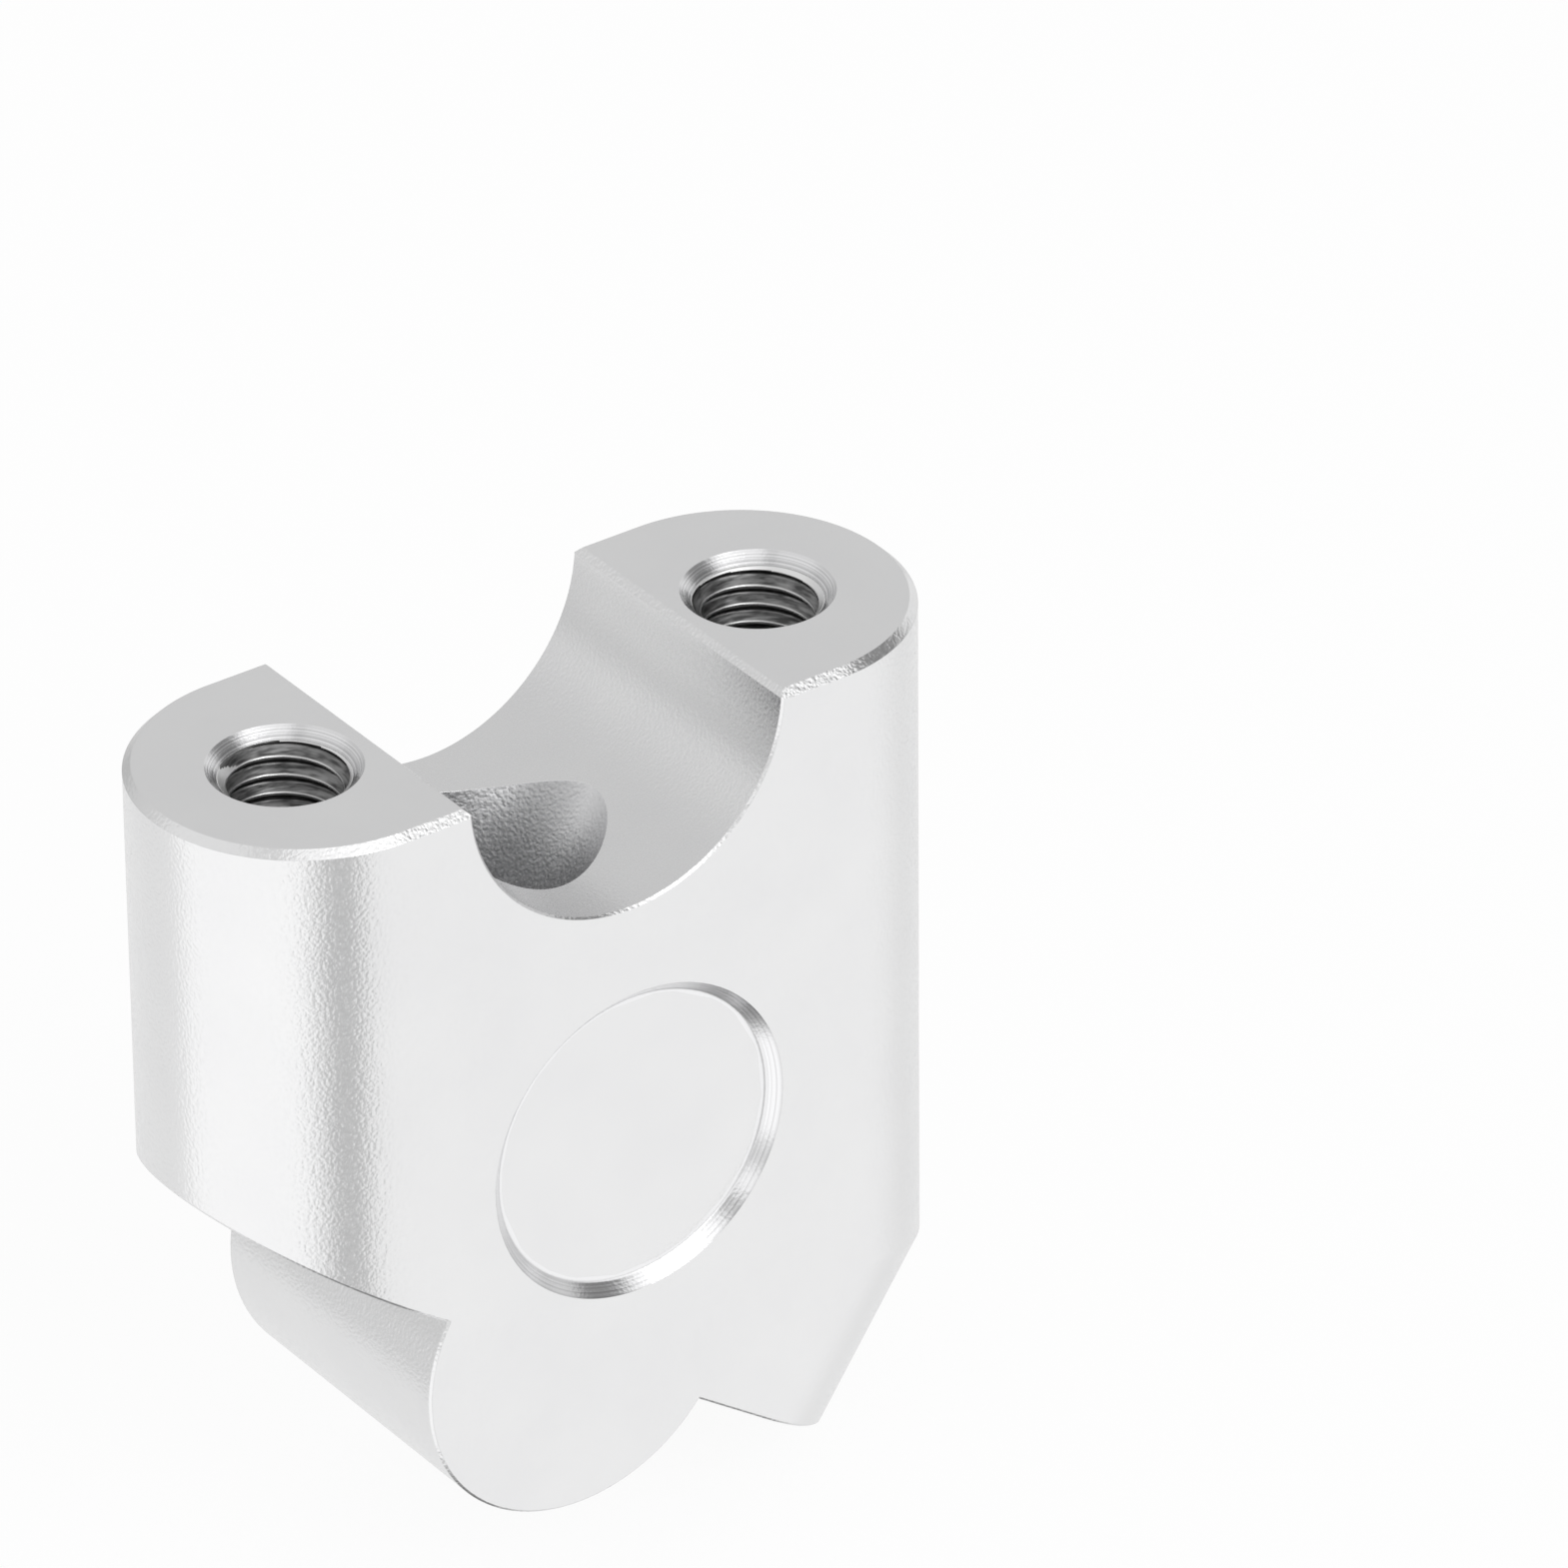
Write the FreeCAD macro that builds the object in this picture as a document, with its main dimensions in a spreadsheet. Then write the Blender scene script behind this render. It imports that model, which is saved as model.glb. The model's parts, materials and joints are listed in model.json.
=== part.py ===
import FreeCAD, Part
import math
import os

import Sketcher

# Motorcycle bar riser, milled from one block of aluminium.
# Frame: the origin is on the axis of the half-round below, in the middle of the width.
# +Z runs up the tapped holes, +X goes to the nose and Y lies along both bars.
# The two bolts that hold the riser down lean by the tilt from +Z towards +X.

# Driving sizes, in millimetres and degrees
SIZES = {
    "bar_diameter": 22.2,  # handlebar that lies in the saddle
    "stub_diameter": 22.2,  # half-round that takes the bar's place in the clamp below
    "width": 21.4,  # across the riser, along the bars
    "top_length": 52.5,  # over both round ends, seen from above
    "rise": 35.5,  # new bar above the old one, along the lower bolts
    "pull_back": 20.0,  # new bar behind the old one, square to the lower bolts
    "tilt": 35.0,  # lower bolts against the tapped holes
    "cap_gap": 0.4,  # top faces below the handlebar's axis
    "seat_gap": 1.0,  # underside below the half-round's axis
    "bolt_spacing": 34.0,  # between the tapped holes
    "lower_bolt_spacing": 34.0,  # between the lower bolts
    "thread_diameter": 8.0,  # tapped holes, at the roots of their M8 thread
    "thread_web": 0.8,  # metal left between a tapped hole and the head pocket below it
    "drill_point": 118.0,  # cone at the end of each tapped hole
    "countersink_diameter": 9.4,  # mouth of each tapped hole
    "countersink_angle": 90.0,
    "bolt_hole_diameter": 9.0,  # an M8 bolt passes with clearance
    "head_pocket_diameter": 13.5,  # an M8 cap head and the wall round it
    "head_height": 8.0,  # M8 cap head
    "head_cover": 0.4,  # between the top of the front head and the handlebar
    "recess_diameter": 20.9,  # shallow round recess in each side, at its rim
    "recess_depth": 0.8,
    "recess_height": 12.95,  # recess centre above the half-round's axis
    "recess_offset": 0.4,  # recess centre beyond the saddle's, towards the nose
    "recess_slope": 45.0,  # wall of the recess
    "recess_fillet": 0.4,  # between the wall and the floor of the recess
    "top_chamfer": 0.5,  # round the outline of both top faces
    "saddle_chamfer": 0.4,  # where the saddle meets the top faces
    "edge_break": 0.15,  # deburred rims of the saddle and half-round, and round the underside
}

# Places that follow from the driving sizes, as expressions on the sheet
SIN = "sin(Sizes.tilt * 1 deg)"
COS = "cos(Sizes.tilt * 1 deg)"
BAR_X = f"(Sizes.rise * {SIN} - Sizes.pull_back * {COS})"
BAR_Z = f"(Sizes.rise * {COS} + Sizes.pull_back * {SIN})"
TOP_Z = f"({BAR_Z} - Sizes.cap_gap)"
FLOOR = "(Sizes.rise - Sizes.bar_diameter / 2 - Sizes.head_cover - Sizes.head_height)"
FRONT_THREAD_X = f"({BAR_X} - Sizes.bolt_spacing / 2)"
POCKET_EDGE = "(Sizes.lower_bolt_spacing / 2 + Sizes.head_pocket_diameter / 2)"
THREAD_END_Z = (
    f"((({FRONT_THREAD_X} + Sizes.thread_diameter / 2) * {COS}"
    f" + {POCKET_EDGE} + Sizes.thread_web) / {SIN})"
)

# Sketcher's numbers for the ends and centre of a piece of geometry, and for its own axes
START, END, CENTRE = 1, 2, 3
X_AXIS, ORIGIN = -1, (-1, 1)
NORMAL = FreeCAD.Vector(0, 0, 1)

# An edge lies in a plane to within this, in millimetres
TINY = 0.001


def make_sheet(doc):
    """Spreadsheet with one aliased cell for each driving size."""
    sheet = doc.addObject("Spreadsheet::Sheet", "Sizes")
    for row, (alias, value) in enumerate(SIZES.items(), start=1):
        sheet.set(f"A{row}", str(value))
        sheet.setAlias(f"A{row}", alias)
    doc.recompute()
    return sheet


def new_sketch(body, name, role, base=("", "", ""), rotation=None):
    """Sketch on an origin plane of the body, moved by expressions and turned about an axis by another."""
    sketch = body.newObject("Sketcher::SketchObject", name)
    plane = next(item for item in body.Origin.OriginFeatures if item.Role == role)
    sketch.AttachmentSupport = (plane, [""])
    sketch.MapMode = "FlatFace"
    if rotation:
        axis, angle = rotation
        sketch.AttachmentOffset = FreeCAD.Placement(FreeCAD.Vector(), FreeCAD.Rotation(axis, 1))
        sketch.setExpression("AttachmentOffset.Rotation.Angle", angle)
    for direction, text in zip("xyz", base):
        if text:
            sketch.setExpression(f"AttachmentOffset.Base.{direction}", text)
    return sketch


def tilted_sketch(body, name, level):
    """Sketch square to the lower bolts, at a level along them; its x axis runs to the nose."""
    base = (f"{level} * {SIN}", "", f"{level} * {COS}")
    return new_sketch(body, name, "XY_Plane", base, (FreeCAD.Vector(0, 1, 0), "Sizes.tilt"))


def bind(sketch, name, text, kind, *where):
    """Named dimension of a sketch, which starts as drawn and then follows an expression."""
    if kind == "Radius":
        drawn = sketch.Geometry[where[0]].Radius
    else:
        span = sketch.getPoint(*where[2:]) - sketch.getPoint(*where[:2])
        drawn = span.x if kind == "DistanceX" else span.y
    index = sketch.addConstraint(Sketcher.Constraint(kind, *where, drawn))
    sketch.renameConstraint(index, name)
    sketch.setExpression(f"Constraints.{name}", text)


def tie(sketch, kind, *where):
    """Constraint with no value."""
    sketch.addConstraint(Sketcher.Constraint(kind, *where))


def point(x, y):
    """Point in a sketch's own plane."""
    return FreeCAD.Vector(x, y, 0)


def draw_arc(sketch, centre, radius, first, last):
    """Arc from the first to the last angle, in degrees; returns its number in the sketch."""
    circle = Part.Circle(centre, NORMAL, radius)
    return sketch.addGeometry(Part.ArcOfCircle(circle, math.radians(first), math.radians(last)), False)


def draw_line(sketch, first, last):
    """Straight line; returns its number in the sketch."""
    return sketch.addGeometry(Part.LineSegment(first, last), False)


def draw_outline(sketch, corners):
    """Closed outline of straight lines whose corners follow expressions for x and y."""
    count = len(corners)
    rough = [point(math.cos(math.tau * k / count), math.sin(math.tau * k / count)) for k in range(count)]
    lines = [draw_line(sketch, rough[k], rough[(k + 1) % count]) for k in range(count)]
    for k, (x, y) in enumerate(corners):
        tie(sketch, "Coincident", lines[k - 1], END, lines[k], START)
        bind(sketch, f"corner_{k}_x", x, "DistanceX", *ORIGIN, lines[k], START)
        bind(sketch, f"corner_{k}_y", y, "DistanceY", *ORIGIN, lines[k], START)


def draw_box(sketch, low, high):
    """Rectangle between two corners that follow expressions."""
    draw_outline(sketch, [low, (high[0], low[1]), high, (low[0], high[1])])


def draw_circle(sketch, name, diameter, spacing="", side=1):
    """Circle at the sketch's origin, or half a bolt spacing along its x axis to the given side."""
    middle = point(side * SIZES[spacing] / 2 if spacing else 0, 0)
    circle = sketch.addGeometry(Part.Circle(middle, NORMAL, SIZES[diameter] / 2), False)
    bind(sketch, f"{name}_radius", f"Sizes.{diameter} / 2", "Radius", circle)
    if not spacing:
        tie(sketch, "Coincident", circle, CENTRE, *ORIGIN)
        return
    tie(sketch, "PointOnObject", circle, CENTRE, X_AXIS)
    ends = (*ORIGIN, circle, CENTRE) if side > 0 else (circle, CENTRE, *ORIGIN)
    bind(sketch, f"{name}_offset", f"Sizes.{spacing} / 2", "DistanceX", *ends)


def cut(body, name, sketch, length="", upwards=False, symmetric=False):
    """Pocket from a sketch, as long as the expression says or through everything."""
    before = body.Shape.Volume
    pocket = body.newObject("PartDesign::Pocket", name)
    pocket.Profile = sketch
    pocket.Reversed = upwards
    if symmetric:
        pocket.SideType = "Symmetric"
    if length:
        pocket.setExpression("Length", length)
    else:
        pocket.Type = "ThroughAll"
    body.Document.recompute()
    if body.Shape.Volume >= before:
        raise RuntimeError(f"{name} removes nothing")
    return pocket


def turn(body, name, kind, sketch, angle=360):
    """Revolution or groove of a sketch about its own y axis, evenly to both sides."""
    before = body.Shape.Volume
    turned = body.newObject(f"PartDesign::{kind}", name)
    turned.Profile = sketch
    turned.ReferenceAxis = (sketch, ["V_Axis"])
    turned.Angle = angle
    turned.Midplane = angle < 360
    body.Document.recompute()
    if (body.Shape.Volume > before) != (kind == "Revolution"):
        raise RuntimeError(f"{name} points away from the solid")


def column(body):
    """Upright block with round ends, from the top faces to well past the underside."""
    sketch = new_sketch(body, "column_outline", "XY_Plane", (BAR_X, "", TOP_Z))
    radius = SIZES["width"] / 2
    reach = SIZES["top_length"] / 2 - radius
    right = draw_arc(sketch, point(reach, 0), radius, -90, 90)
    back = draw_line(sketch, point(reach, radius), point(-reach, radius))
    left = draw_arc(sketch, point(-reach, 0), radius, 90, 270)
    front = draw_line(sketch, point(-reach, -radius), point(reach, -radius))
    for first, second in ((right, back), (back, left), (left, front), (front, right)):
        tie(sketch, "Tangent", first, END, second, START)
    tie(sketch, "Horizontal", back)
    tie(sketch, "Horizontal", front)
    tie(sketch, "Symmetric", left, CENTRE, right, CENTRE, *ORIGIN)
    bind(sketch, "end_radius", "Sizes.width / 2", "Radius", right)
    bind(sketch, "end_spacing", "Sizes.top_length - Sizes.width", "DistanceX", left, CENTRE, right, CENTRE)

    block = body.newObject("PartDesign::Pad", "column")
    block.Profile = sketch
    block.Reversed = True
    block.setExpression("Length", f"{TOP_Z} + Sizes.top_length")
    body.Document.recompute()


def underside(body):
    """Flat underside, square to the lower bolts and just below the half-round's axis."""
    sketch = tilted_sketch(body, "underside_outline", "-Sizes.seat_gap")
    draw_box(sketch, ("-2 * Sizes.top_length", "-Sizes.width"), ("2 * Sizes.top_length", "Sizes.width"))
    cut(body, "underside", sketch)


def nose(body):
    """Lower end at the nose, turned about the rear lower bolt to the same width as the block."""
    half = "Sizes.lower_bolt_spacing / 2"
    base = (f"{half} * {COS}", f"-{half} * {SIN}", "")
    sketch = new_sketch(body, "nose_section", "XZ_Plane", base, (NORMAL, "-Sizes.tilt"))
    beyond = "2 * Sizes.top_length"
    draw_box(sketch, ("Sizes.width / 2", f"-{beyond}"), (beyond, beyond))
    turn(body, "nose", "Groove", sketch, 180)


def stub(body):
    """Half-round across the whole width, flush with both sides, its rims deburred."""
    sketch = new_sketch(body, "stub_section", "XY_Plane")
    radius, face = "Sizes.stub_diameter / 2", "(Sizes.stub_diameter / 2 - Sizes.edge_break)"
    inside, side = "(Sizes.width / 2 - Sizes.edge_break)", "Sizes.width / 2"
    draw_outline(sketch, [
        ("0", f"-{side}"), (face, f"-{side}"), (radius, f"-{inside}"),
        (radius, inside), (face, side), ("0", side),
    ])
    turn(body, "stub", "Revolution", sketch)


def saddle(body):
    """Round saddle for the handlebar, deburred at both sides and chamfered at the top faces."""
    sketch = new_sketch(body, "saddle_section", "XY_Plane", (BAR_X, "", BAR_Z))
    radius, mouth = "Sizes.bar_diameter / 2", "(Sizes.bar_diameter / 2 + 2 * Sizes.edge_break)"
    inside, beyond = "(Sizes.width / 2 - Sizes.edge_break)", "(Sizes.width / 2 + Sizes.edge_break)"
    draw_outline(sketch, [
        ("0", f"-{beyond}"), (mouth, f"-{beyond}"), (radius, f"-{inside}"),
        (radius, inside), (mouth, beyond), ("0", beyond),
    ])
    turn(body, "saddle", "Groove", sketch)

    edges = new_sketch(body, "saddle_edge_outline", "XZ_Plane", (BAR_X, BAR_Z, ""))
    low, high = "(-Sizes.cap_gap - Sizes.saddle_chamfer)", "(Sizes.saddle_chamfer - Sizes.cap_gap)"
    inner = f"sqrt(pow(Sizes.bar_diameter / 2; 2) - pow({low}; 2))"
    outer = f"({inner} + 2 * Sizes.saddle_chamfer)"
    draw_outline(edges, [(inner, low), (outer, high), (f"-{outer}", high), (f"-{inner}", low)])
    cut(body, "saddle_edges", edges, "2 * Sizes.width", symmetric=True)


def lower_bolts(body):
    """Head pockets and clearance holes for the two bolts that hold the riser down."""
    front = tilted_sketch(body, "front_pocket_outline", FLOOR)
    draw_circle(front, "front", "head_pocket_diameter", "lower_bolt_spacing", -1)
    cut(body, "front_pocket", front, f"Sizes.rise - {FLOOR}", upwards=True)
    rear = tilted_sketch(body, "rear_pocket_outline", FLOOR)
    draw_circle(rear, "rear", "head_pocket_diameter", "lower_bolt_spacing")
    cut(body, "rear_pocket", rear, upwards=True)
    holes = tilted_sketch(body, "bolt_hole_outlines", FLOOR)
    draw_circle(holes, "front", "bolt_hole_diameter", "lower_bolt_spacing", -1)
    draw_circle(holes, "rear", "bolt_hole_diameter", "lower_bolt_spacing")
    cut(body, "bolt_holes", holes)


def tapped_holes(body):
    """Countersunk blind holes for the cap bolts; the front one ends just short of its head pocket."""
    sketch = new_sketch(body, "tapped_hole_centres", "XY_Plane", (BAR_X, "", TOP_Z))
    draw_circle(sketch, "front", "thread_diameter", "bolt_spacing", -1)
    draw_circle(sketch, "rear", "thread_diameter", "bolt_spacing")
    body.Document.recompute()
    before = body.Shape.Volume
    hole = body.newObject("PartDesign::Hole", "tapped_holes")
    hole.Profile = sketch
    body.Document.recompute()
    hole.DepthType = "Dimension"
    hole.DrillPoint = "Angled"
    hole.HoleCutType = "Countersink"
    hole.setExpression("Diameter", "Sizes.thread_diameter")
    hole.setExpression("Depth", f"{TOP_Z} - {THREAD_END_Z}")
    hole.setExpression("DrillPointAngle", "Sizes.drill_point")
    hole.setExpression("HoleCutDiameter", "Sizes.countersink_diameter")
    hole.setExpression("HoleCutCountersinkAngle", "Sizes.countersink_angle")
    body.Document.recompute()
    if body.Shape.Volume >= before:
        raise RuntimeError("the tapped holes remove nothing")


def recesses(body):
    """Shallow round recess in each side, whose sloping wall runs into the floor with a fillet."""
    base = (f"{BAR_X} + Sizes.recess_offset", "Sizes.recess_height", "Sizes.width / 2")
    sketch = new_sketch(body, "recess_outline", "XZ_Plane", base)
    draw_circle(sketch, "rim", "recess_diameter")
    recess = cut(body, "recess", sketch, "Sizes.recess_depth")
    recess.setExpression("TaperAngle", "-Sizes.recess_slope")
    mirrored = body.newObject("PartDesign::Mirrored", "recess_pair")
    mirrored.Originals = [recess]
    plane = next(item for item in body.Origin.OriginFeatures if item.Role == "XZ_Plane")
    mirrored.MirrorPlane = (plane, [""])
    body.Tip = mirrored
    body.Document.recompute()
    floor = SIZES["width"] / 2 - SIZES["recess_depth"]
    along = FreeCAD.Vector(0, 1, 0)
    dress(body, "recess_fillets", "Fillet", "Sizes.recess_fillet", (along, floor), (along, -floor))


def lies_in(edge, normal, level):
    """Whether an edge lies in the plane with this normal, at this level along it."""
    first, last = edge.ParameterRange
    spots = [edge.valueAt(first + (last - first) * share) for share in (0, 0.3, 0.7, 1)]
    return all(abs(spot.dot(normal) - level) < TINY for spot in spots)


def dress(body, name, kind, size, *planes):
    """Chamfer or fillet on every edge that lies in one of the planes, each a normal and a level."""
    base = body.Tip
    edges = enumerate(base.Shape.Edges, start=1)
    picked = [f"Edge{index}" for index, edge in edges if any(lies_in(edge, *plane) for plane in planes)]
    if not picked:
        raise RuntimeError(f"{name} finds no edge")
    feature = body.newObject(f"PartDesign::{kind}", name)
    feature.Base = (base, picked)
    feature.setExpression("Size" if kind == "Chamfer" else "Radius", size)
    body.Document.recompute()


def outline_chamfers(body):
    """Chamfer round the top and a smaller one round the underside, while both are still whole."""
    lean = math.radians(SIZES["tilt"])
    bolt_axis = FreeCAD.Vector(math.sin(lean), 0, math.cos(lean))
    dress(body, "top_chamfer", "Chamfer", "Sizes.top_chamfer", (NORMAL, body.Shape.BoundBox.ZMax))
    dress(body, "underside_chamfer", "Chamfer", "Sizes.edge_break", (bolt_axis, -SIZES["seat_gap"]))


def make_riser(doc):
    """The whole riser as one body, in the order in which it would be milled."""
    body = doc.addObject("PartDesign::Body", "riser_body")
    body.Label = "riser_body"
    column(body)
    underside(body)
    nose(body)
    outline_chamfers(body)
    stub(body)
    saddle(body)
    lower_bolts(body)
    tapped_holes(body)
    recesses(body)
    return body


def check(doc, bodies):
    """Stop at any failed object or bad shape."""
    for item in doc.Objects:
        if {"Invalid", "Error"} & set(item.State):
            raise RuntimeError(f"{item.Name} failed")
    for body in bodies:
        if body.Shape.isNull() or not body.Shape.isValid() or len(body.Shape.Solids) != 1:
            raise RuntimeError(f"{body.Label} is not one valid solid")


def main():
    """Build the document and write each body's shape."""
    doc = FreeCAD.newDocument("bar_riser")
    make_sheet(doc)
    bodies = [make_riser(doc)]
    doc.recompute()
    check(doc, bodies)
    os.makedirs("parts", exist_ok=True)
    for body in bodies:
        body.Shape.exportStep(os.path.join("parts", f"{body.Label}.step"))
        box = body.Shape.BoundBox
        print(f"{body.Label}: {body.Shape.Volume:.1f} mm3, x {box.XMin:.2f} to {box.XMax:.2f}, "
              f"y {box.YMin:.2f} to {box.YMax:.2f}, z {box.ZMin:.2f} to {box.ZMax:.2f}")


main()
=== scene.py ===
"""Looks of a motorcycle bar riser milled from aluminium, bead-blasted and clear anodised."""
import json
import logging
import math
from dataclasses import dataclass, field
from enum import Enum
from typing import Any

import bmesh
import bpy
from mathutils import Matrix, Vector


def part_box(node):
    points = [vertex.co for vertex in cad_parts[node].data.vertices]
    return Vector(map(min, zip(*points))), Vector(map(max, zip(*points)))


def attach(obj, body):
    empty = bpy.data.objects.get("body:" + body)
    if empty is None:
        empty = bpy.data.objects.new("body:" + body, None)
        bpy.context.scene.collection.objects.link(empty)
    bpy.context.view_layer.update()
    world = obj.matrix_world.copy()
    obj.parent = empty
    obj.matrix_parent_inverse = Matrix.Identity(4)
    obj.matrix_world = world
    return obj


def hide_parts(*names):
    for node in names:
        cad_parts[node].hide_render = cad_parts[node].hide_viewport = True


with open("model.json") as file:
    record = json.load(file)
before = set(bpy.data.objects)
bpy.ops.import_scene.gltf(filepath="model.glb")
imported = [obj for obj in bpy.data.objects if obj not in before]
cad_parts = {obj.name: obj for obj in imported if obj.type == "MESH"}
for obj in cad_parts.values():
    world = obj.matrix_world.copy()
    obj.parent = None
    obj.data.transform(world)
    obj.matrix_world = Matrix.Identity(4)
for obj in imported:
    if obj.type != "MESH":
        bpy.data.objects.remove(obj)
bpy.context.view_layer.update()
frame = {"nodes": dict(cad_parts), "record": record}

MM = 0.001  # metres in a millimetre
BODY = "root"
CAD_NODE = "riser_body"
CAP_THREADS = ("cap_bolt_thread_front", "cap_bolt_thread_rear")
LOWER_BORES = ("lower_bolt_bore_front", "lower_bolt_bore_rear")

UP = Vector((0, 0, 1))
ALONG_BAR = Vector((0, 1, 0))
SLANT = math.sqrt(0.5)  # each part of a direction at 45 degrees

NOISE_LOW, NOISE_HIGH = 0.3, 0.7  # noise seldom leaves this range

log = logging.getLogger("bar_riser")


class Step(Enum):
    """Steps that a formula can take: the node, its setting and the inputs that the terms go to."""

    ADD = ("ShaderNodeMath", {"operation": "ADD"}, (0, 1))
    SUBTRACT = ("ShaderNodeMath", {"operation": "SUBTRACT"}, (0, 1))
    MULTIPLY = ("ShaderNodeMath", {"operation": "MULTIPLY"}, (0, 1))
    DIVIDE = ("ShaderNodeMath", {"operation": "DIVIDE"}, (0, 1))
    LARGER_OF = ("ShaderNodeMath", {"operation": "MAXIMUM"}, (0, 1))
    IS_ABOVE = ("ShaderNodeMath", {"operation": "GREATER_THAN"}, (0, 1))
    FRACTION = ("ShaderNodeMath", {"operation": "FRACT"}, (0,))
    ABSOLUTE = ("ShaderNodeMath", {"operation": "ABSOLUTE"}, (0,))
    COSINE = ("ShaderNodeMath", {"operation": "COSINE"}, (0,))
    SINE = ("ShaderNodeMath", {"operation": "SINE"}, (0,))
    MAP = ("ShaderNodeMapRange", {"interpolation_type": "LINEAR"}, (0, 1, 2, 3, 4))
    EASE = ("ShaderNodeMapRange", {"interpolation_type": "SMOOTHSTEP"}, (0, 1, 2, 3, 4))
    MIX = ("ShaderNodeMix", {"data_type": "FLOAT"}, (0, 2, 3))


def linear(hex_colour: str) -> tuple[float, float, float, float]:
    """Turn an sRGB hex colour into linear light.

    Args:
        hex_colour: Colour such as "#e6e6e6".

    Returns:
        Red, green, blue and an alpha of 1.
    """
    shares = [int(hex_colour[start:start + 2], 16) / 255 for start in (1, 3, 5)]
    red, green, blue = (s / 12.92 if s <= 0.04045 else ((s + 0.055) / 1.055) ** 2.4 for s in shares)
    return red, green, blue, 1.0


def add_node(
    tree: bpy.types.NodeTree, kind: str, inputs: dict[Any, Any] | None = None, **settings: Any
) -> bpy.types.Node:
    """Add a node with its settings, values and links.

    Args:
        tree: Tree that gets the node.
        kind: Blender's name for the node's type.
        inputs: Value or socket to link for each input, by its name or number.
        **settings: Properties of the node itself.

    Returns:
        The new node.
    """
    node = tree.nodes.new(kind)
    for name, value in settings.items():
        setattr(node, name, value)
    for name, value in (inputs or {}).items():
        if isinstance(value, bpy.types.NodeSocket):
            tree.links.new(value, node.inputs[name])
        else:
            node.inputs[name].default_value = value
    return node


def add_formula(
    tree: bpy.types.NodeTree, known: dict[str, bpy.types.NodeSocket], steps: tuple[tuple[Any, ...], ...]
) -> None:
    """Add the nodes of a formula, one for each step.

    Args:
        tree: Tree that gets the nodes.
        known: Sockets by name, to which each step adds its result.
        steps: Name of the result, step and terms. A term is a number or a known name. MAP and EASE take
            a value, its range and the new range, and MIX takes a share and the two values to blend.
    """
    for result, step, *terms in steps:
        kind, settings, places = step.value
        inputs = {
            place: known[term] if isinstance(term, str) else term for place, term in zip(places, terms)
        }
        known[result] = add_node(tree, kind, inputs, **settings).outputs[0]


def mount(name: str) -> dict[str, Any]:
    """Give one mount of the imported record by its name."""
    return next(item for item in frame["record"]["mounts"] if item["name"] == name)


class Region(Enum):
    """Kinds of surface that the riser has, by what was done to them last."""

    BLASTED = 0
    SADDLE = 1
    POCKET = 2
    RECESS_WALL = 3
    TURNED = 4


@dataclass(frozen=True)
class Flat:
    """Plane of the riser, which faces away from the metal."""

    point: Vector
    facing: Vector
    region: Region = Region.BLASTED
    curved: bool = False

    def offset(self, spot: Vector) -> float:
        """Signed distance of a spot from the plane."""
        return (spot - self.point).dot(self.facing)

    def normal(self, spot: Vector) -> Vector:
        """Direction that the plane faces, the same at any spot."""
        return self.facing

    def settle(self, spot: Vector) -> Vector:
        """Nearest spot on the plane."""
        return spot - self.facing * self.offset(spot)


@dataclass(frozen=True)
class Round:
    """Cylinder or cone of the riser about an axis; a bore faces that axis."""

    point: Vector
    axis: Vector
    radius: float
    slope: float = 0.0
    bore: bool = False
    region: Region = Region.BLASTED
    curved: bool = True

    def offset(self, spot: Vector) -> float:
        """Measure how far a spot is from the surface.

        Args:
            spot: Place near the surface.

        Returns:
            Distance, above zero outside the cylinder or cone.
        """
        along = (spot - self.point).dot(self.axis)
        outward = spot - self.point - along * self.axis
        return (outward.length - self.radius - self.slope * along) / math.hypot(1, self.slope)

    def normal(self, spot: Vector) -> Vector:
        """Find the direction that the surface faces.

        Args:
            spot: Place beside the surface.

        Returns:
            Unit vector away from the metal.
        """
        along = (spot - self.point).dot(self.axis)
        outward = (spot - self.point - along * self.axis).normalized()
        facing = (outward - self.slope * self.axis).normalized()
        return -facing if self.bore else facing

    def settle(self, spot: Vector) -> Vector:
        """Nearest spot on the surface."""
        outward = -self.normal(spot) if self.bore else self.normal(spot)
        return spot - outward * self.offset(spot)


@dataclass(frozen=True)
class Ring:
    """Fillet that runs round an axis, seen from the side of its own centre line."""

    point: Vector
    axis: Vector
    ring_radius: float
    tube_radius: float
    region: Region = Region.RECESS_WALL
    curved: bool = True

    def from_centre(self, spot: Vector) -> Vector:
        """Way from the centre line of the fillet to a spot."""
        outward = spot - self.point - (spot - self.point).dot(self.axis) * self.axis
        return spot - self.point - outward.normalized() * self.ring_radius

    def offset(self, spot: Vector) -> float:
        """Signed distance of a spot from the fillet."""
        return self.from_centre(spot).length - self.tube_radius

    def normal(self, spot: Vector) -> Vector:
        """Direction that the fillet faces beside a spot."""
        return -self.from_centre(spot).normalized()

    def settle(self, spot: Vector) -> Vector:
        """Nearest spot on the fillet."""
        return spot + self.normal(spot) * self.offset(spot)


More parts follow.
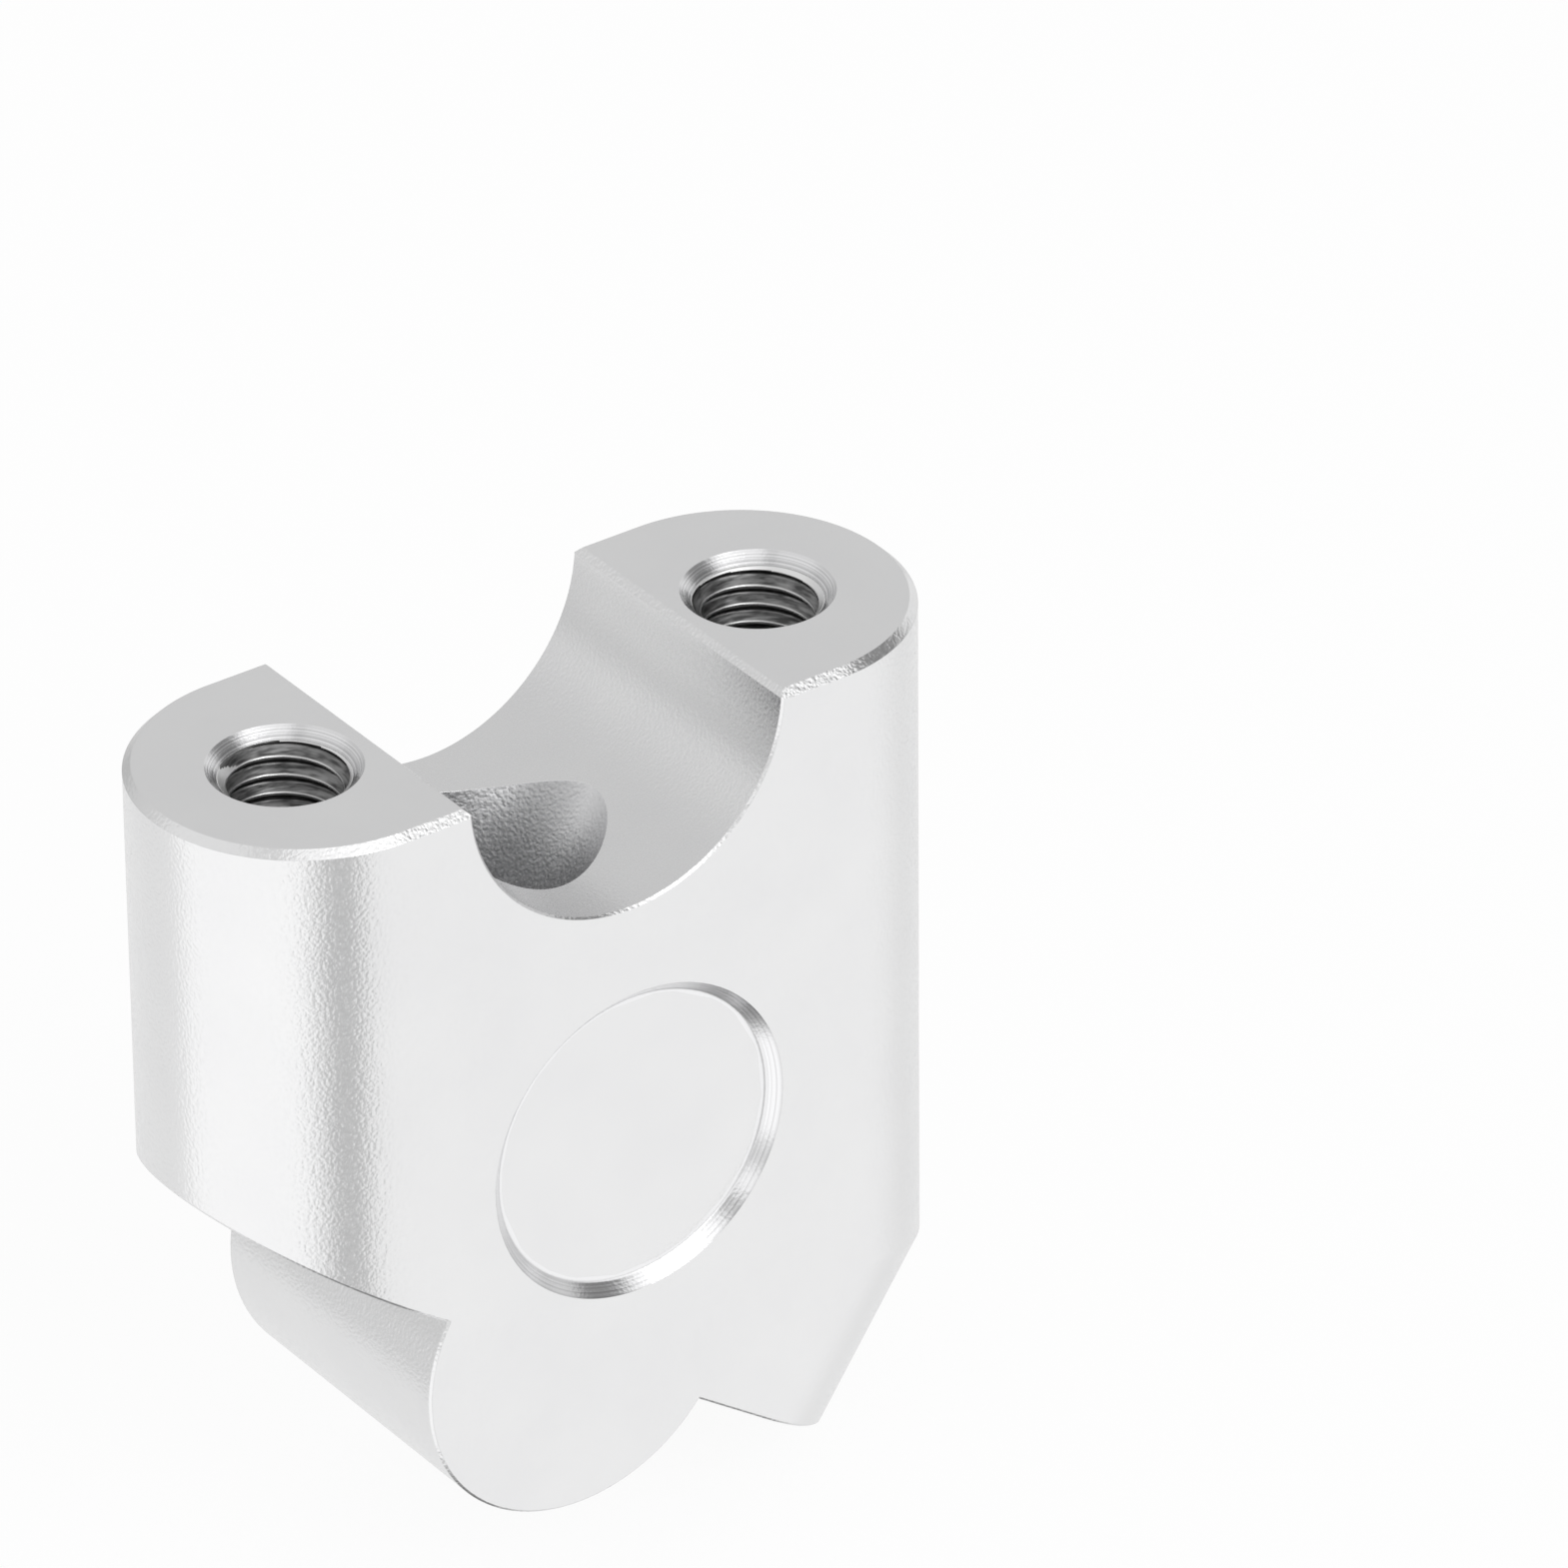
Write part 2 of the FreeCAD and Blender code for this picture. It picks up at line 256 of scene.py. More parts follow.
@dataclass(frozen=True)
class BlastedAnodise:
    """Aluminium blasted with beads and clear anodised: a satin skin of fine dimples with a frosted sheen.

    The beads leave shallow dents about two tenths of a millimetre apart. They spread every reflection and
    show as speckle where a bright reflection meets a dark one.
    """

    name: str = "bead_blasted_clear_anodised_aluminium"
    colour: str = "#e9e9e9"
    deep_colour: str = "#e2e2e3"
    roughness: float = 0.22
    roughness_spread: float = 0.05
    grain_mm: float = 0.22
    grain_depth_mm: float = 0.03
    patch_mm: float = 7.0
    edge_radius_mm: float = 0.07

    def build(self) -> bpy.types.Material:
        """Make the material.

        Returns:
            Material with colour, roughness and relief in its nodes.
        """
        material = bpy.data.materials.new(self.name)
        material.use_nodes = True
        tree = material.node_tree
        tree.nodes.clear()
        place = add_node(tree, "ShaderNodeTexCoord").outputs["Object"]
        patches = add_node(tree, "ShaderNodeTexNoise", {
            "Vector": place, "Scale": 1 / (self.patch_mm * MM), "Detail": 3.0, "Roughness": 0.5})
        grain = add_node(tree, "ShaderNodeTexNoise", {
            "Vector": place, "Scale": 1 / (self.grain_mm * MM), "Detail": 1.0, "Roughness": 0.4})
        tint = add_node(tree, "ShaderNodeMix", {
            "Factor": patches.outputs["Fac"], 6: linear(self.deep_colour), 7: linear(self.colour)},
            data_type="RGBA")
        rough = add_node(tree, "ShaderNodeMapRange", {
            "Value": grain.outputs["Fac"], "From Min": NOISE_LOW, "From Max": NOISE_HIGH,
            "To Min": self.roughness - self.roughness_spread,
            "To Max": self.roughness + self.roughness_spread})
        edge = add_node(tree, "ShaderNodeBevel", {"Radius": self.edge_radius_mm * MM}, samples=4)
        relief = add_node(tree, "ShaderNodeBump", {
            "Height": grain.outputs["Fac"], "Distance": self.grain_depth_mm * MM, "Strength": 1.0,
            "Normal": edge.outputs["Normal"]})
        skin = add_node(tree, "ShaderNodeBsdfPrincipled", {
            "Base Color": tint.outputs[2], "Metallic": 1.0, "Roughness": rough.outputs["Result"],
            "Normal": relief.outputs["Normal"]})
        add_node(tree, "ShaderNodeOutputMaterial", {"Surface": skin.outputs["BSDF"]})
        return material


@dataclass(frozen=True)
class CutAnodise:
    """Aluminium left as the cutter made it, then clear anodised: fine grooves that follow the cutter.

    The grooves lie across the cutter's axis and are a little darker than the lands between them, so the
    metal looks streaked one way and brighter than where it was blasted. A cutter's marks are about a tenth
    of a millimetre apart. They are drawn coarser than that, because they wouldn't show.
    """

    name: str
    axis: Vector
    colour: str = "#e8e8e9"
    groove_colour: str = "#bcbcbd"
    groove_floor: float = 0.35
    groove_land: float = 0.6
    roughness: float = 0.22
    roughness_spread: float = 0.05
    groove_mm: float = 0.3
    groove_depth_mm: float = 0.006
    grain_mm: float = 0.2
    grain_depth_mm: float = 0.008
    edge_radius_mm: float = 0.05

    def build(self) -> bpy.types.Material:
        """Make the material.

        Returns:
            Material with grooves square to its axis and a little grain.
        """
        material = bpy.data.materials.new(self.name)
        material.use_nodes = True
        tree = material.node_tree
        tree.nodes.clear()
        place = add_node(tree, "ShaderNodeTexCoord").outputs["Object"]
        along = add_node(
            tree, "ShaderNodeVectorMath", {0: place, 1: self.axis}, operation="DOT_PRODUCT")
        grooves = add_node(tree, "ShaderNodeTexNoise", {
            "W": along.outputs["Value"], "Scale": 1 / (self.groove_mm * MM), "Detail": 2.0},
            noise_dimensions="1D")
        grain = add_node(tree, "ShaderNodeTexNoise", {
            "Vector": place, "Scale": 1 / (self.grain_mm * MM), "Detail": 1.0})
        rough = add_node(tree, "ShaderNodeMapRange", {
            "Value": grooves.outputs["Fac"], "From Min": NOISE_LOW, "From Max": NOISE_HIGH,
            "To Min": self.roughness - self.roughness_spread,
            "To Max": self.roughness + self.roughness_spread})
        depth = add_node(tree, "ShaderNodeMapRange", {
            "Value": grooves.outputs["Fac"], "From Min": self.groove_floor, "From Max": self.groove_land})
        tint = add_node(tree, "ShaderNodeMix", {
            "Factor": depth.outputs["Result"], 6: linear(self.groove_colour), 7: linear(self.colour)},
            data_type="RGBA")
        edge = add_node(tree, "ShaderNodeBevel", {"Radius": self.edge_radius_mm * MM}, samples=4)
        lines = add_node(tree, "ShaderNodeBump", {
            "Height": grooves.outputs["Fac"], "Distance": self.groove_depth_mm * MM, "Strength": 1.0,
            "Normal": edge.outputs["Normal"]})
        relief = add_node(tree, "ShaderNodeBump", {
            "Height": grain.outputs["Fac"], "Distance": self.grain_depth_mm * MM, "Strength": 1.0,
            "Normal": lines.outputs["Normal"]})
        skin = add_node(tree, "ShaderNodeBsdfPrincipled", {
            "Base Color": tint.outputs[2], "Metallic": 1.0, "Roughness": rough.outputs["Result"],
            "Normal": relief.outputs["Normal"]})
        add_node(tree, "ShaderNodeOutputMaterial", {"Surface": skin.outputs["BSDF"]})
        return material


@dataclass(frozen=True)
class ThreadAnodise:
    """Aluminium cut by a tap: its own pale colour along the crests, and painted shade down the flanks and
    roots, standing in for the shade inside the hole.

    The tap tears the flanks, which shows as blotches drawn out across the hole: the streak turns noise of
    0.25 mm into marks about 1.2 mm long and 0.2 mm high. The thread's mesh carries an attribute that rises
    from 0 at a root to 1 at a crest.
    """

    name: str = "tapped_thread_aluminium"
    attribute: str = "rise"
    # painted shade: the dark root and flank colours stand in for the shade inside the hole; the crest keeps
    # the metal's pale colour
    shaded_root_colour: str = "#4c4c4c"
    shaded_flank_colour: str = "#8c8c8c"
    crest_colour: str = "#e4e4e4"
    crest_from: float = 0.8
    roughness: float = 0.35
    streak: tuple[float, float, float] = (0.2, 0.2, 1.5)
    blotch_low: float = 0.35
    blotch_high: float = 0.65
    scratch_mm: float = 0.25
    scratch_depth_mm: float = 0.008

    def build(self) -> bpy.types.Material:
        """Make the material.

        Returns:
            Material whose colour follows the height of the thread.
        """
        material = bpy.data.materials.new(self.name)
        material.use_nodes = True
        tree = material.node_tree
        tree.nodes.clear()
        place = add_node(tree, "ShaderNodeTexCoord").outputs["Object"]
        rise = add_node(tree, "ShaderNodeAttribute", attribute_name=self.attribute).outputs["Fac"]
        drawn = add_node(
            tree, "ShaderNodeVectorMath", {0: place, 1: self.streak}, operation="MULTIPLY")
        torn = add_node(tree, "ShaderNodeTexNoise", {
            "Vector": drawn.outputs[0], "Scale": 1 / (self.scratch_mm * MM), "Detail": 2.0})
        blotch = add_node(tree, "ShaderNodeMapRange", {
            "Value": torn.outputs["Fac"], "From Min": self.blotch_low, "From Max": self.blotch_high})
        # painted shade on the flanks and roots, broken up by the tap's random blotches
        flank = add_node(tree, "ShaderNodeMix", {
            "Factor": blotch.outputs["Result"], 6: linear(self.shaded_root_colour), 7: linear(self.shaded_flank_colour)},
            data_type="RGBA")
        # near the crest the painted shade gives way to the metal's own pale colour
        crest = add_node(tree, "ShaderNodeMapRange", {
            "Value": rise, "From Min": self.crest_from, "From Max": 1.0},
            interpolation_type="SMOOTHSTEP")
        tint = add_node(tree, "ShaderNodeMix", {
            "Factor": crest.outputs["Result"], 6: flank.outputs[2], 7: linear(self.crest_colour)},
            data_type="RGBA")
        relief = add_node(tree, "ShaderNodeBump", {
            "Height": torn.outputs["Fac"], "Distance": self.scratch_depth_mm * MM, "Strength": 1.0})
        skin = add_node(tree, "ShaderNodeBsdfPrincipled", {
            "Base Color": tint.outputs[2], "Metallic": 1.0, "Roughness": self.roughness,
            "Normal": relief.outputs["Normal"]})
        add_node(tree, "ShaderNodeOutputMaterial", {"Surface": skin.outputs["BSDF"]})
        return material


@dataclass
class MilledRiser:
    """The riser itself, with every face known by the cut that made it.

    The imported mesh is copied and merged, each triangle is matched to its plane, cylinder, cone or fillet,
    and the curved ones are divided and settled on their true surface. Sizes are in metres.
    """

    top_length: float = 52.5 * MM
    top_chamfer: float = 0.5 * MM
    saddle_chamfer: float = 0.4 * MM
    edge_break: float = 0.15 * MM
    head_radius: float = 6.75 * MM
    seat_gap: float = 1.0 * MM
    countersink_radius: float = 4.7 * MM
    recess_radius: float = 10.45 * MM
    recess_depth: float = 0.8 * MM
    recess_height: float = 12.95 * MM
    recess_offset: float = 0.4 * MM
    recess_fillet: float = 0.4 * MM
    recess_slope: float = math.radians(45)
    drill_point: float = math.radians(118)
    merge_gap: float = 0.0005 * MM
    tolerance: float = 0.004 * MM
    facing_limit: float = 0.95
    bend_limit: float = math.radians(1)
    divisions: int = 2
    settling_rounds: int = 12
    surfaces: list[Flat | Round | Ring] = field(default_factory=list)

    def __post_init__(self) -> None:
        """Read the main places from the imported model."""
        low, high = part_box(CAD_NODE)
        self.half_width = (high.y - low.y) / 2
        self.top = high.z
        self.saddle = Vector(mount("bar_saddle")["pos_m"])
        self.reach = self.top_length / 2 - self.half_width
        self.bar_radius = mount("bar_saddle")["dims"]["r_mm"] * MM
        self.foot_radius = mount("lower_bar_foot")["dims"]["r_mm"] * MM
        self.bolt_axis = Vector(mount(LOWER_BORES[0])["axis"]).normalized()
        self.across = Vector((self.bolt_axis.z, 0, -self.bolt_axis.x))
        self.surfaces = self.outline()
        for side in (-1, 1):
            self.surfaces += self.side_face(side * ALONG_BAR)
        self.surfaces += self.saddle_lips() + self.bores()

    def outline(self) -> list[Flat | Round]:
        """Surfaces that run along the bars or round the ends: top, underside, saddle, foot and ends.

        Returns:
            Their planes, cylinders and cones.
        """
        found: list[Flat | Round] = [
            Flat(Vector((0, 0, self.top)), UP),
            Flat(-self.seat_gap * self.bolt_axis, -self.bolt_axis),
            Round(Vector(), ALONG_BAR, self.foot_radius),
            Round(self.saddle, ALONG_BAR, self.bar_radius, bore=True, region=Region.SADDLE),
        ]
        nose = Vector(mount(LOWER_BORES[1])["pos_m"])
        found.append(Round(nose, self.bolt_axis, self.half_width))
        seat = -self.seat_gap * self.bolt_axis + nose.dot(self.across) * self.across
        found.append(Round(seat, self.bolt_axis, self.half_width - self.edge_break, slope=1.0))
        for end in (self.saddle.x - self.reach, self.saddle.x + self.reach):
            found.append(Round(Vector((end, 0, 0)), UP, self.half_width))
            rim = Vector((end, 0, self.top))
            found.append(Round(rim, UP, self.half_width - self.top_chamfer, slope=-1.0))
        return found

    def side_face(self, face: Vector) -> list[Flat | Round | Ring]:
        """One side face with its broken edges and its recess.

        Args:
            face: Direction that the side faces.

        Returns:
            Its planes, cones and fillet.
        """
        rim = self.half_width * face
        broken = (self.half_width - self.edge_break) * face
        lip = (self.half_width - self.top_chamfer) * face + self.top * UP
        lower_lip = broken - self.seat_gap * self.bolt_axis
        middle = Vector((self.saddle.x + self.recess_offset, 0, self.recess_height))
        mouth = middle + rim
        centre = mouth - (self.recess_depth - self.recess_fillet) * face
        tangent = self.recess_fillet * math.tan(self.recess_slope / 2)
        ring_radius = self.recess_radius - self.recess_depth - tangent
        return [
            Flat(rim, face),
            Flat((self.half_width - self.recess_depth) * face, face),
            Flat(lip, (face + UP) * SLANT),
            Flat(lower_lip, (face - self.bolt_axis) * SLANT),
            Round(rim, face, self.foot_radius - self.edge_break, slope=-1.0),
            Round(self.saddle + broken, face, self.bar_radius, slope=1.0, bore=True),
            Round(mouth, face, self.recess_radius, slope=1.0, bore=True, region=Region.RECESS_WALL),
            Ring(centre, face, ring_radius, self.recess_fillet),
        ]

    def saddle_lips(self) -> list[Flat]:
        """Chamfers where the saddle meets both top faces.

        Returns:
            The two slanted planes.
        """
        drop = self.saddle.z - self.top + self.saddle_chamfer
        reach = math.sqrt(self.bar_radius ** 2 - drop ** 2)
        return [
            Flat(self.saddle + Vector((side * reach, 0, -drop)), Vector((-side * SLANT, 0, SLANT)))
            for side in (-1, 1)
        ]

    def bores(self) -> list[Flat | Round]:
        """Walls and floors of the tapped holes, the bolt holes and the pockets for the bolts' heads.

        Returns:
            Their surfaces.
        """
        found: list[Flat | Round] = []
        for name in CAP_THREADS:
            tapped = mount(name)
            radius, depth = tapped["dims"]["r_mm"] * MM, tapped["dims"]["length_mm"] * MM
            middle = Vector(tapped["pos_m"])
            mouth = Vector((middle.x, middle.y, self.top))
            floor = mouth - UP * (self.countersink_radius - radius + depth)
            for spot, width, slope in (
                (middle, radius, 0.0),
                (mouth, self.countersink_radius, 1.0),
                (floor, radius, math.tan(self.drill_point / 2)),
            ):
                found.append(Round(spot, UP, width, slope=slope, bore=True, region=Region.TURNED))
        for name in LOWER_BORES:
            bore = mount(name)
            radius, length = bore["dims"]["r_mm"] * MM, bore["dims"]["length_mm"] * MM
            middle = Vector(bore["pos_m"])
            for width in (radius, self.head_radius):
                found.append(Round(middle, self.bolt_axis, width, bore=True, region=Region.POCKET))
            found.append(Flat(middle + self.bolt_axis * length / 2, self.bolt_axis, Region.POCKET))
        return found

    def match(self, face: bmesh.types.BMFace) -> int:
        """Find the surface that a face lies on.

        Args:
            face: Face of the merged mesh.

        Returns:
            Number of the surface, or -1 where none fits.
        """
        middle = face.calc_center_median()
        best, chosen = self.tolerance, -1
        for number, surface in enumerate(self.surfaces):
            gap = max(abs(surface.offset(corner.co)) for corner in face.verts)
            if gap < best and surface.normal(middle).dot(face.normal) > self.facing_limit:
                best, chosen = gap, number
        return chosen

    def is_bent(self, edge: bmesh.types.BMEdge, layer: bmesh.types.BMLayerItem) -> bool:
        """Tell whether an edge cuts across a curve.

        Args:
            edge: Edge of a matched mesh.
            layer: Face layer that holds the surface's number.

        Returns:
            True where the surface of a face beside it turns by more than the limit from end to end.
        """
        for face in edge.link_faces:
            surface = self.surfaces[face[layer]] if face[layer] >= 0 else None
            if surface and surface.curved:
                first, last = (surface.normal(corner.co) for corner in edge.verts)
                if first.dot(last) < math.cos(self.bend_limit):
                    return True
        return False

    def refine(self, mesh: bmesh.types.BMesh, layer: bmesh.types.BMLayerItem) -> None:
        """Divide the edges that cut across a curve and settle their middles on the true surfaces.

        Args:
            mesh: Mesh whose faces are matched.
            layer: Face layer that holds the surface's number.
        """
        for _ in range(self.divisions):
            bent = [edge for edge in mesh.edges if self.is_bent(edge, layer)]
            known = set(mesh.verts)
            bmesh.ops.subdivide_edges(mesh, edges=bent, cuts=1)
            for corner in mesh.verts:
                if corner in known:
                    continue
                numbers = {face[layer] for face in corner.link_faces} - {-1}
                bearing = [self.surfaces[number] for number in numbers]
                for _ in range(self.settling_rounds):
                    for surface in bearing:
                        corner.co = surface.settle(corner.co)
            bmesh.ops.triangulate(mesh, faces=[face for face in mesh.faces if len(face.verts) > 3])
            mesh.normal_update()

    def build(self) -> bpy.types.Object:
        """Make the riser's piece.

        Returns:
            Object with exact normals and each face's material index set by its region.
        """
        source = frame["nodes"][CAD_NODE].data
        mesh = bmesh.new()
        mesh.from_mesh(source)
        bmesh.ops.remove_doubles(mesh, verts=mesh.verts, dist=self.merge_gap)
        mesh.normal_update()
        layer = mesh.faces.layers.int.new("surface")
        for face in mesh.faces:
            face[layer] = self.match(face)
        stray = sum(face[layer] < 0 for face in mesh.faces)
        self.refine(mesh, layer)
        normals = []
        for face in mesh.faces:
            surface = self.surfaces[face[layer]] if face[layer] >= 0 else None
            face.smooth = True
            face.material_index = (surface.region if surface else Region.BLASTED).value
            for corner in face.verts:
                soft = surface.normal(corner.co) if surface else self.soft_normal(corner, layer)
                normals.append(soft)
        data = bpy.data.meshes.new("milled_riser")
        mesh.to_mesh(data)
        mesh.free()
        data.normals_split_custom_set(normals)
        piece = bpy.data.objects.new("milled_riser", data)
        bpy.context.scene.collection.objects.link(piece)
        log.info("milled_riser: %d faces, %d on no named surface", len(data.polygons), stray)
        return piece

    @staticmethod
    def soft_normal(corner: bmesh.types.BMVert, layer: bmesh.types.BMLayerItem) -> Vector:
        """Average the normals of the unmatched faces round a corner.

        Args:
            corner: Corner of such a face.
            layer: Face layer that holds the surface's number.

        Returns:
            Their mean direction, by area.
        """
        total = Vector()
        for face in corner.link_faces:
            if face[layer] < 0:
                total += face.normal * face.calc_area()
        return total.normalized()

    def dress(self, piece: bpy.types.Object) -> None:
        """Give each region its finish and hand the piece over.

        Args:
            piece: The riser's object.
        """
        finishes = {
            Region.BLASTED: BlastedAnodise(),
            # The saddle and the pockets look as if blasted more lightly: smoother and a little greyer.
            Region.SADDLE: BlastedAnodise(
                "lightly_blasted_saddle_aluminium", colour="#e5e5e5", deep_colour="#dededf",
                roughness=0.27, grain_depth_mm=0.016),
            Region.POCKET: BlastedAnodise(
                "lightly_blasted_pocket_aluminium", colour="#e2e2e3", deep_colour="#dadadb",
                roughness=0.33, grain_depth_mm=0.024),
            # The recess wall keeps the cutter's fine rings and is the brightest metal.
            Region.RECESS_WALL: CutAnodise(
                "milled_recess_wall_aluminium", ALONG_BAR, colour="#ededee", groove_colour="#d2d2d3",
                roughness=0.17, groove_mm=0.2),
            # The countersink keeps deeper rings, which break its reflection into light and dark lines.
            Region.TURNED: CutAnodise(
                "turned_countersink_aluminium", UP, groove_mm=0.15, groove_depth_mm=0.014),
        }
        for region in Region:
            piece.data.materials.append(finishes[region].build())
        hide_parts(CAD_NODE)
        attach(piece, BODY)


@dataclass
class CapThread:
    """Thread in a tapped hole: a thin sleeve whose inside carries the ridges of an M8 thread.

    Sizes are in metres. The turn is the share of a pitch by which the ridge is shifted, the crest and root
    shares are those of half a pitch, and the outer share is that of the grid's rows that make the wall.
    The row gap is less than one row's share, and tells it from the next.
    """

    name: str
    hole: str
    turn: float
    top: float
    countersink_radius: float
    pitch: float = 1.25 * MM
    crest_radius: float = 3.4 * MM
    root_gap: float = 0.03 * MM
    wall: float = 0.05 * MM
    merge_gap: float = 0.0002 * MM
    around: int = 96
    along: int = 150
    row_gap: float = 0.0001
    crest_share: float = 0.08
    root_share: float = 0.125
    outer_share: float = 0.08

    def tree(self) -> bpy.types.NodeTree:
        """Build the geometry nodes that wrap a grid into the threaded sleeve.

        Returns:
            Tree with the thread's sizes as inputs.
        """
        tree = bpy.data.node_groups.new("thread_sleeve", "GeometryNodeTree")
        sizes = (
            "Bore Radius", "Crest Radius", "Pitch", "Turn", "Mouth Radius", "Root Gap", "Wall", "First",
            "Last",
        )
        for name in sizes:
            tree.interface.new_socket(name, in_out="INPUT", socket_type="NodeSocketFloat")
        tree.interface.new_socket("Mouth", in_out="INPUT", socket_type="NodeSocketVector")
        tree.interface.new_socket("Finish", in_out="INPUT", socket_type="NodeSocketMaterial")
        tree.interface.new_socket("Geometry", in_out="OUTPUT", socket_type="NodeSocketGeometry")
        size = add_node(tree, "NodeGroupInput").outputs
        grid = add_node(tree, "GeometryNodeMeshGrid", {
            "Size X": 1.0, "Size Y": 1.0, "Vertices X": self.around + 1, "Vertices Y": self.along + 1})
        spot = add_node(tree, "GeometryNodeInputPosition").outputs[0]
        parts = add_node(tree, "ShaderNodeSeparateXYZ", {0: spot}).outputs
        known = {name: size[name] for name in sizes} | {"X": parts["X"], "Y": parts["Y"]}
        inner_share = 1 - self.outer_share
        add_formula(tree, known, (
            # Once round the hole, and from its mouth down the inside and back up the outside
            ("lap", Step.ADD, "X", 0.5),
            ("run", Step.ADD, "Y", 0.5),
            ("down", Step.MAP, "run", 0.0, inner_share, "First", "Last"),
            ("back_up", Step.MAP, "run", inner_share, 1.0, "Last", "First"),
            ("outside", Step.IS_ABOVE, "run", inner_share + self.row_gap),
            ("depth", Step.MIX, "outside", "down", "back_up"),
            # The ridge as a wave that winds by one pitch a lap
            ("pitches", Step.DIVIDE, "depth", "Pitch"),
            ("wound", Step.ADD, "pitches", "lap"),
            ("phase", Step.SUBTRACT, "wound", "Turn"),
            ("part", Step.FRACTION, "phase"),
            ("doubled", Step.MULTIPLY, "part", 2.0),
            ("centred", Step.SUBTRACT, "doubled", 1.0),
            ("wave", Step.ABSOLUTE, "centred"),
            ("root", Step.SUBTRACT, "Bore Radius", "Root Gap"),
            ("ridge", Step.MAP, "wave", self.root_share, 1 - self.crest_share, "root", "Crest Radius"),
            # The countersink cuts the first ridges back to its cone
            ("cone", Step.SUBTRACT, "Mouth Radius", "depth"),
            ("inside_radius", Step.LARGER_OF, "ridge", "cone"),
            ("on_cone", Step.IS_ABOVE, "cone", "ridge"),
            ("height", Step.MAP, "inside_radius", "root", "Crest Radius", 0.0, 1.0),
            ("rise", Step.LARGER_OF, "height", "on_cone"),
            # The outer rows stand in the wall, and the last one closes on the first
            ("last_row", Step.IS_ABOVE, "run", 1 - self.row_gap),
            ("in_wall", Step.SUBTRACT, "outside", "last_row"),
            ("sleeve", Step.ADD, "Bore Radius", "Wall"),
            ("radius", Step.MIX, "in_wall", "inside_radius", "sleeve"),
            ("angle", Step.MULTIPLY, "lap", math.tau),
            ("cosine", Step.COSINE, "angle"),
            ("sine", Step.SINE, "angle"),
            ("x", Step.MULTIPLY, "radius", "cosine"),
            ("y", Step.MULTIPLY, "radius", "sine"),
            ("z", Step.MULTIPLY, "depth", -1.0),
        ))
        point = add_node(
            tree, "ShaderNodeCombineXYZ", {"X": known["x"], "Y": known["y"], "Z": known["z"]})
        place = add_node(
            tree, "ShaderNodeVectorMath", {0: point.outputs[0], 1: size["Mouth"]}, operation="ADD")
        marked = add_node(tree, "GeometryNodeStoreNamedAttribute", {
            "Geometry": grid.outputs["Mesh"], "Name": ThreadAnodise.attribute, "Value": known["rise"]})
        wrapped = add_node(tree, "GeometryNodeSetPosition", {
            "Geometry": marked.outputs[0], "Position": place.outputs[0]})
        closed = add_node(tree, "GeometryNodeMergeByDistance", {
            "Geometry": wrapped.outputs[0], "Distance": self.merge_gap})
        smooth = add_node(tree, "GeometryNodeSetShadeSmooth", {
            "Geometry": closed.outputs[0], "Shade Smooth": True})
        real = add_node(tree, "GeometryNodeRealizeInstances", {"Geometry": smooth.outputs[0]})
        dressed = add_node(tree, "GeometryNodeSetMaterial", {
            "Geometry": real.outputs[0], "Material": size["Finish"]})
        add_node(tree, "NodeGroupOutput", {"Geometry": dressed.outputs[0]})
        return tree

    def build(self, tree: bpy.types.NodeTree, finish: bpy.types.Material) -> bpy.types.Object:
        """Run the tree for this hole and keep its plain mesh.

        Args:
            tree: The sleeve's geometry nodes.
            finish: Material of the thread.

        Returns:
            Object with the threaded sleeve, riding on the riser.
        """
        tapped = mount(self.hole)
        radius, depth = tapped["dims"]["r_mm"] * MM, tapped["dims"]["length_mm"] * MM
        cone_depth = self.countersink_radius - radius
        values = {
            "Bore Radius": radius, "Crest Radius": self.crest_radius, "Pitch": self.pitch,
            "Turn": self.turn, "Mouth Radius": self.countersink_radius, "Root Gap": self.root_gap,
            "Wall": self.wall, "First": cone_depth, "Last": cone_depth + depth,
            "Mouth": (tapped["pos_m"][0], tapped["pos_m"][1], self.top), "Finish": finish,
        }
        grid_name = self.name + "_grid"
        carrier = bpy.data.objects.new(grid_name, bpy.data.meshes.new(grid_name))
        bpy.context.scene.collection.objects.link(carrier)
        modifier = carrier.modifiers.new("thread", "NODES")
        modifier.node_group = tree
        for item in tree.interface.items_tree:
            if item.in_out == "INPUT":
                modifier[item.identifier] = values[item.name]
        shown = carrier.evaluated_get(bpy.context.evaluated_depsgraph_get())
        data = bpy.data.meshes.new_from_object(shown)
        carrier.modifiers.clear()
        bpy.data.objects.remove(carrier)
        data.name = self.name
        mesh = bmesh.new()
        mesh.from_mesh(data)
        bmesh.ops.recalc_face_normals(mesh, faces=mesh.faces)
        mesh.to_mesh(data)
        mesh.free()
        piece = bpy.data.objects.new(self.name, data)
        bpy.context.scene.collection.objects.link(piece)
        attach(piece, BODY)
        log.info("%s: %d faces", self.name, len(data.polygons))
        return piece


@dataclass(frozen=True)
class Patch:
    """Brighter or darker part of the studio round the riser.

    The azimuth is counted from the camera, positive to the camera's left, in degrees, as the widths are.
    Lowest and highest are the upright part of a direction. A gain above zero is a lamp box and one below
    zero a dark gap.
    """

    azimuth: float
    half_width: float
    softness: float
    lowest: float
    highest: float
    gain: float


